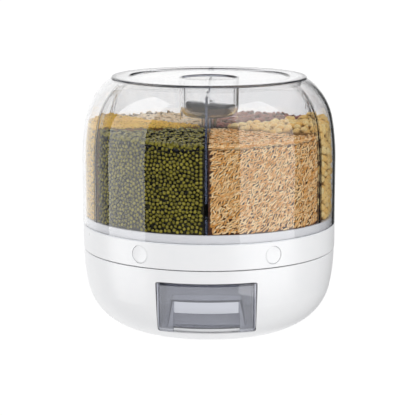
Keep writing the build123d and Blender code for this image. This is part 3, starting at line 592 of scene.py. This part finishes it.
def top_grains(heap, chance, layer):
    """A layer over the top, given as the grains at the wall are."""
    long, thick = heap["size"]
    half, gap, start = (long - thick) / 2, heap["gap"], heap["start"]
    end = start + SECTOR
    flat = spread(2 * DOME_IN, 2 * DOME_IN, gap, 0, chance) - DOME_IN
    if heap["rounds"]:
        flat = flat + chance.uniform(-STIR, STIR, flat.shape) * gap
    radius = np.hypot(flat[:, 0], flat[:, 1])
    angle = np.arctan2(flat[:, 0], -flat[:, 1])
    angle = start + (angle - start) % tau
    clear = DIVIDER_HALF + thick / 2
    keep = (radius > COLUMN_OUT + thick) & (radius < DOME_IN - INSET * thick)
    keep &= radius * np.sin(np.clip(angle - start, 0, pi)) > clear
    keep &= radius * np.sin(np.clip(end - angle, -pi, pi)) > clear
    keep &= angle < end
    flat, radius, angle = flat[keep], radius[keep], angle[keep]
    up = heap_top(heap, angle, radius) - (TOP_SINK + TOP_STEP * layer) * thick
    up = up + chance.uniform(*TOP_SCATTER, len(up)) * thick
    spin = chance.uniform(0, pi, len(up))
    spin = np.where(radius > dome_in(up) - ALONG_WALL * long, angle, spin)
    lean = chance.uniform(-1, 1, len(up)) * heap["lean"]
    way = np.stack((np.cos(spin) * np.cos(lean), np.sin(spin) * np.cos(lean), np.sin(lean)), 1)
    # They are moved clear of the two dividers, the column and the dome.
    for away in ((cos(start), sin(start)), (-cos(end), -sin(end))):
        short = clear + half * np.abs(way[:, :2] @ away) - flat @ away
        flat = flat + np.clip(short, 0, None)[:, None] * away
    radius = np.hypot(flat[:, 0], flat[:, 1])
    reach = thick / 2 + half * np.abs((way[:, :2] * flat).sum(1)) / radius
    wall = dome_in(up + thick / 2) - WALL_PLAY
    fitted = np.clip(radius, COLUMN_OUT + reach, wall - reach)
    flat = flat * (fitted / radius)[:, None]
    # Painted light: near the wall the outward sides are spared the painted shade.
    edge = np.clip(LIT_START - (dome_in(up) - fitted) / (LIT_GAPS_IN * gap), 0, 1)
    out, _ = plan_ways(angle)
    return (
        np.stack((flat[:, 0], flat[:, 1], up), 1),
        way,
        np.tile(UP, (len(up), 1)),
        edge[:, None] * out,
        np.full(len(up), layer - heap["top"]),
    )


SIZE_RANGE, TONE_SPREAD = (0.88, 1.1), 0.7
DEEP_SHADE = 0.7
MAP_MARGIN = 0.08


def loose_grain(heap, made):
    """The grains that show: layers against the dome's wall and over the top of the heap."""
    chance = np.random.default_rng(heap["seed"])
    layers = range(heap["layers"])
    grains = [wall_grains(heap, chance, layer) for layer in layers]
    grains += [top_grains(heap, chance, layer) for layer in layers]
    places, long_ways, flat_ways, edge_ways, deep = map(np.concatenate, zip(*grains, strict=True))
    turns = turned_to(long_ways, flat_ways)
    points, faces, skin = grain_form(*heap["form"])
    count = len(places)
    long, thick = heap["size"]
    sizes = np.array((long, thick, thick * heap["flat"]))
    sizes = sizes * chance.uniform(*SIZE_RANGE, (count, 1))
    grown = points[None, :, :] * sizes[:, None, :]
    grown = np.einsum("nij,nkj->nki", turns, grown) + places[:, None, :]
    # How far each point faces out of the heap, less for grains that lie deeper: this sets the
    # painted shade on the grains' sides and on the deeper layers.
    normals = points[None, :, :] / sizes[:, None, :]
    normals /= np.linalg.norm(normals, axis=2)[:, :, None]
    normals = np.einsum("nij,nkj->nki", turns, normals)
    outwards = np.einsum("nki,ni->nk", normals, flat_ways)
    to_edge = np.einsum("nki,ni->nk", normals, edge_ways)
    facing_shade = np.maximum(outwards, to_edge) - DEEP_SHADE * deep[:, None]
    firsts = np.arange(count)[:, None, None] * len(points)
    joined = (faces[None, :, :] + firsts).reshape(-1, 3)
    piece = new_piece(heap["name"], grown.reshape(-1, 3), joined, made)
    tone = np.repeat(chance.beta(TONE_SPREAD, TONE_SPREAD, count), len(points))
    for name, values in (("tone", tone), ("facing_shade", facing_shade.ravel())):
        attribute = piece.data.attributes.new(name, "FLOAT", "POINT")
        attribute.data.foreach_set("value", values.astype(np.float32))
    # Each grain's skin has its own cell of the map.
    cells = int(np.ceil(np.sqrt(count)))
    corner = np.stack((np.arange(count) % cells, np.arange(count) // cells), 1)[:, None, :]
    skin_map = (corner + MAP_MARGIN + (1 - 2 * MAP_MARGIN) * skin[None, :, :]) / cells
    skin_map = skin_map.astype(np.float32).ravel()
    piece.data.uv_layers.new(name="OFBake").data.foreach_set("uv", skin_map)
    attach(piece, "turret")


# start is the angle of the first divider from the front, in degrees. levels are heights in mm by
# that divider, by the next one and at the column. size is a grain's length and thickness in mm,
# flat what is left of its thickness the other way, and gap the mm between neighbours.
# rounds is how long they are pushed apart. lean, slope and stray are in radians: out of the
# wall, along it, and the scatter of that. form is a grain's sides, rings and bluntness.
# rim is how far a surface faces out where it is all painted shade, and where it has its full
# colour. Grains on top take the share top less painted shade than grains at the wall.
# The colour given after the three skin colours is painted shade, on grain sides and heap cores.
HEAPS = (
    dict(
        name="mung_beans", start=-60, levels=(193.5, 187.0, 190.0), seed=11,
        size=(4.3, 4.0), flat=0.97, gap=3.9, layers=2, rounds=22,
        lean=0.6, slope=0.0, stray=1.5, form=(10, 6, 0.9), gloss=0.24,
        colours=("#5E5A13", "#887F20", "#B2A63C"), gap_shade="#030302", rim=(0.36, 0.98), top=0.1,
    ),
    dict(
        name="barley", start=0, levels=(187.0, 188.5, 189.5), seed=12,
        size=(6.6, 2.1), flat=0.85, gap=2.4, layers=2, rounds=8,
        lean=0.35, slope=0.75, stray=0.45, form=(6, 5, 1.0), gloss=0.3,
        colours=("#B85E10", "#FFC25C", "#FFF4D4"), gap_shade="#0C0401", rim=(0.22, 0.8), top=0.5,
    ),
    dict(
        name="soya_beans", start=60, levels=(195.0, 196.0, 191.0), seed=13,
        size=(8.0, 7.0), flat=0.95, gap=7.2, layers=2, rounds=30,
        lean=0.6, slope=0.0, stray=1.5, form=(12, 7, 0.85), gloss=0.35,
        colours=("#F0B85A", "#FFD87E", "#FFEDB4"), gap_shade="#6A4414", rim=(-0.2, 0.65), top=0.35,
    ),
    dict(
        name="red_beans", start=120, levels=(192.0, 190.0, 191.0), seed=14,
        size=(7.4, 5.4), flat=0.95, gap=5.8, layers=2, rounds=30,
        lean=0.5, slope=0.0, stray=1.5, form=(8, 5, 0.85), gloss=0.3,
        colours=("#5C1F1A", "#8E352C", "#B0604E"), gap_shade="#0C0403", rim=(0.1, 0.9), top=0.45,
    ),
    dict(
        name="wheat", start=180, levels=(189.0, 192.0, 191.0), seed=15,
        size=(5.6, 3.2), flat=0.9, gap=3.6, layers=2, rounds=12,
        lean=0.5, slope=0.3, stray=1.0, form=(6, 5, 0.95), gloss=0.45,
        colours=("#D0A672", "#F8DFB4", "#FFF6E0"), gap_shade="#2A1C0E", rim=(0.1, 0.9), top=0.5,
    ),
    dict(
        name="millet", start=240, levels=(196.0, 196.0, 191.0), seed=16,
        size=(2.1, 1.9), flat=1.0, gap=2.0, layers=1, rounds=0,
        lean=0.5, slope=0.0, stray=1.5, form=(6, 3, 0.9), gloss=0.45,
        colours=("#E0A000", "#FFC914", "#FFE254"), gap_shade="#5A3E08", rim=(0.0, 0.8), top=0.5,
    ),
)
GLOSSIER, DULLER = 0.08, 0.14
WRINKLE, WRINKLE_DEPTH = 0.2, 0.0003
CELL_SHADE, CORE_ROUGHNESS = (0.4, 0.0), 0.8
for heap in HEAPS:
    thick_mm, gap_mm = heap["size"][1], heap["gap"]
    heap["start"] = radians(heap["start"])
    heap["size"] = tuple(s / 1000 for s in heap["size"])
    heap["gap"] = gap_mm / 1000
    # Each grain has its own shade of skin, with flecks along it and a soft natural gloss.
    # Its sides are painted darker: painted shade for the dark between grains, where little light
    # gets in.
    husk, tree = new_material(heap["name"] + "_skin")
    tone = add(tree, "ShaderNodeAttribute", {}, attribute_name="tone").outputs["Fac"]
    facing_shade = add(tree, "ShaderNodeAttribute", {}, attribute_name="facing_shade").outputs["Fac"]
    fleck = noise(tree, thick_mm, Detail=FINE_DETAIL)
    dark, mid, pale = [linear(c) for c in heap["colours"]]
    gap_shade = linear(heap["gap_shade"])
    skin = blend(tree, fleck, blend(tree, tone, dark, mid), blend(tree, tone, mid, pale))
    # Painted shade: the skin runs to the dark shade colour where the grain faces away from the
    # open.
    unshaded_share = between(
        tree, facing_shade, (0.0, 1.0), span=heap["rim"], interpolation_type="SMOOTHSTEP"
    )
    opaque(
        tree,
        {
            "Base Color": blend(tree, unshaded_share, gap_shade, skin),
            "Roughness": between(tree, fleck, (heap["gloss"] - GLOSSIER, heap["gloss"] + DULLER)),
            "Normal": dented(tree, fleck, WRINKLE, WRINKLE_DEPTH),
        },
    )
    # Behind the loose grains the heap is painted shade: dark gaps between rounded cells, standing
    # in for the shade between grains that are not there.
    depth, tree = new_material(heap["name"] + "_painted_shade")
    place = add(tree, "ShaderNodeTexCoord", {})
    inputs = {"Vector": place.outputs["Object"], "Scale": 1000 / gap_mm}
    cells = add(tree, "ShaderNodeTexVoronoi", inputs).outputs["Distance"]
    shade = between(tree, cells, CELL_SHADE)
    opaque(tree, {"Base Color": blend(tree, shade, gap_shade, dark), "Roughness": CORE_ROUGHNESS})
    heap_core(heap, depth)
    loose_grain(heap, husk)

# Table and light
# A light table of opal acrylic lit from below, an even white surround, and two tall softboxes
# that show in the dome. The table takes only a faint shadow, and is kept out of all reflections.
scene = bpy.context.scene
TABLE_OPAL, TABLE_GLOW = "#3C3C3C", 0.97
TABLE_CLOUD_MM, TABLE_GLOSS, TABLE_SHINE = 400.0, (0.8, 0.9), 0.1
TABLE_HALF = 12.0
table_white, tree = new_material("lit_acrylic_table")
cloud = noise(tree, TABLE_CLOUD_MM)
shader = add(
    tree,
    "ShaderNodeBsdfPrincipled",
    {
        "Base Color": linear(TABLE_OPAL),
        "Roughness": between(tree, cloud, TABLE_GLOSS),
        "Specular IOR Level": TABLE_SHINE,
        "Emission Color": linear(WHITE),
        "Emission Strength": TABLE_GLOW,
    },
)
path = add(tree, "ShaderNodeLightPath", {})
gone = add(tree, "ShaderNodeBsdfTransparent", {"Color": linear(WHITE)})
unmirrored = switch(tree, path.outputs["Glossy Depth"], shader.outputs[0], gone.outputs[0])
add(tree, "ShaderNodeOutputMaterial", {"Surface": unmirrored})
corners = [(x * TABLE_HALF, y * TABLE_HALF, 0) for x, y in ((-1, -1), (1, -1), (1, 1), (-1, 1))]
table = new_piece("table", corners, [(0, 1, 2, 3)], table_white)
table.visible_diffuse = False

# The surround is even and white to the eye. What gloss mirrors of it is dark in front and to the
# right, plain white behind, a bright screen behind on the left, and bright overhead.
EVEN = 0.92
SCREEN, WALL, DIM, OVERHEAD = 1.1, 1.08, 0.02, 1.1
# Each change runs over a span of one part of the direction.
BEHIND_SPAN, OVERHEAD_SPAN = (0.1, 0.6), (0.3, 0.65)
SCREEN_SPAN, DIM_SPAN = (-0.12, -0.4), (0.16, 0.3)
world = bpy.data.worlds.new("studio")
world.use_nodes = True
scene.world = world
tree = world.node_tree
tree.nodes.clear()
path = add(tree, "ShaderNodeLightPath", {})
place = add(tree, "ShaderNodeTexCoord", {})
to_right, to_back, to_top = add(
    tree, "ShaderNodeSeparateXYZ", {0: place.outputs["Generated"]}
).outputs
behind = between(tree, to_back, (0.0, 1.0), span=BEHIND_SPAN)
screen = between(tree, to_right, (WALL, SCREEN), span=SCREEN_SPAN)
right = between(tree, to_right, (1.0, DIM), span=DIM_SPAN)
above = between(tree, to_top, (0.0, OVERHEAD), span=OVERHEAD_SPAN)
around = reckon(tree, "MULTIPLY", reckon(tree, "MULTIPLY", screen, right), behind)
most = reckon(tree, "MAXIMUM", around, above)
mirrored = add(tree, "ShaderNodeBackground", {"Color": linear(WHITE), "Strength": most})
even = add(tree, "ShaderNodeBackground", {"Color": linear(WHITE), "Strength": EVEN})
seen = switch(tree, path.outputs["Glossy Depth"], even.outputs[0], mirrored.outputs[0])
add(tree, "ShaderNodeOutputWorld", {"Surface": seen})


def softbox(name, turn, reach, width, low, high, radiance):
    """A tall lamp at an angle from the front, facing the middle of the dispenser."""
    tall = high - low
    lamp = bpy.data.lights.new(name, "AREA")
    lamp.shape = "RECTANGLE"
    lamp.size, lamp.size_y = width, tall
    lamp.energy = radiance * pi * width * tall
    held = bpy.data.objects.new(name, lamp)
    held.location = (*from_front(turn, reach), (low + high) / 2)
    held.rotation_euler = (pi / 2, 0, turn)
    held.visible_camera = False
    held.visible_transmission = False
    scene.collection.objects.link(held)
    return held


# The two side boxes only shine in the gloss. The key lights the white body and isn't mirrored.
BOX_LOW, BOX_HIGH, BOX_REACH = -0.4, 1.7, 0.9
for name, degrees, width, radiance in (
    ("left_softbox", -74.5, 0.67, 2.9),
    ("right_softbox", 53, 0.88, 2.6),
):
    box = softbox(name, radians(degrees), BOX_REACH, width, BOX_LOW, BOX_HIGH, radiance)
    box.visible_diffuse = False
key = softbox(
    "key_softbox", turn=radians(28), reach=1.7, width=1.1, low=0.0, high=1.1, radiance=0.95
)
key.visible_glossy = False

# Camera
# A long lens a little above the lid, as the product picture was taken.
LENS_MM, SENSOR_MM = 135.87, 36.0
CAMERA_TURN = radians(1.3)
CAMERA_REACH, CAMERA_HEIGHT = 1.4836, 0.38995
CAMERA_PITCH = radians(10.645)
CAMERA_LEFT = 0.001056
NEAREST, FARTHEST = 0.05, 60.0
lens = bpy.data.cameras.new("camera")
lens.lens, lens.sensor_width = LENS_MM, SENSOR_MM
lens.clip_start, lens.clip_end = NEAREST, FARTHEST
camera = bpy.data.objects.new("camera", lens)
x, y = from_front(CAMERA_TURN, CAMERA_REACH)
x, y = x - CAMERA_LEFT * cos(CAMERA_TURN), y - CAMERA_LEFT * sin(CAMERA_TURN)
camera.location = (x, y, CAMERA_HEIGHT)
camera.rotation_euler = (pi / 2 - CAMERA_PITCH, 0, CAMERA_TURN)
scene.collection.objects.link(camera)
scene.camera = camera

# Light has to pass many clear walls, and the picture keeps plain colours.
WALLS_PASSED, THIN_WALLS_PASSED = 24, 32
scene.view_settings.view_transform = "Standard"
scene.cycles.max_bounces = WALLS_PASSED
scene.cycles.transmission_bounces = WALLS_PASSED
scene.cycles.transparent_max_bounces = THIN_WALLS_PASSED
scene.cycles.use_denoising = True
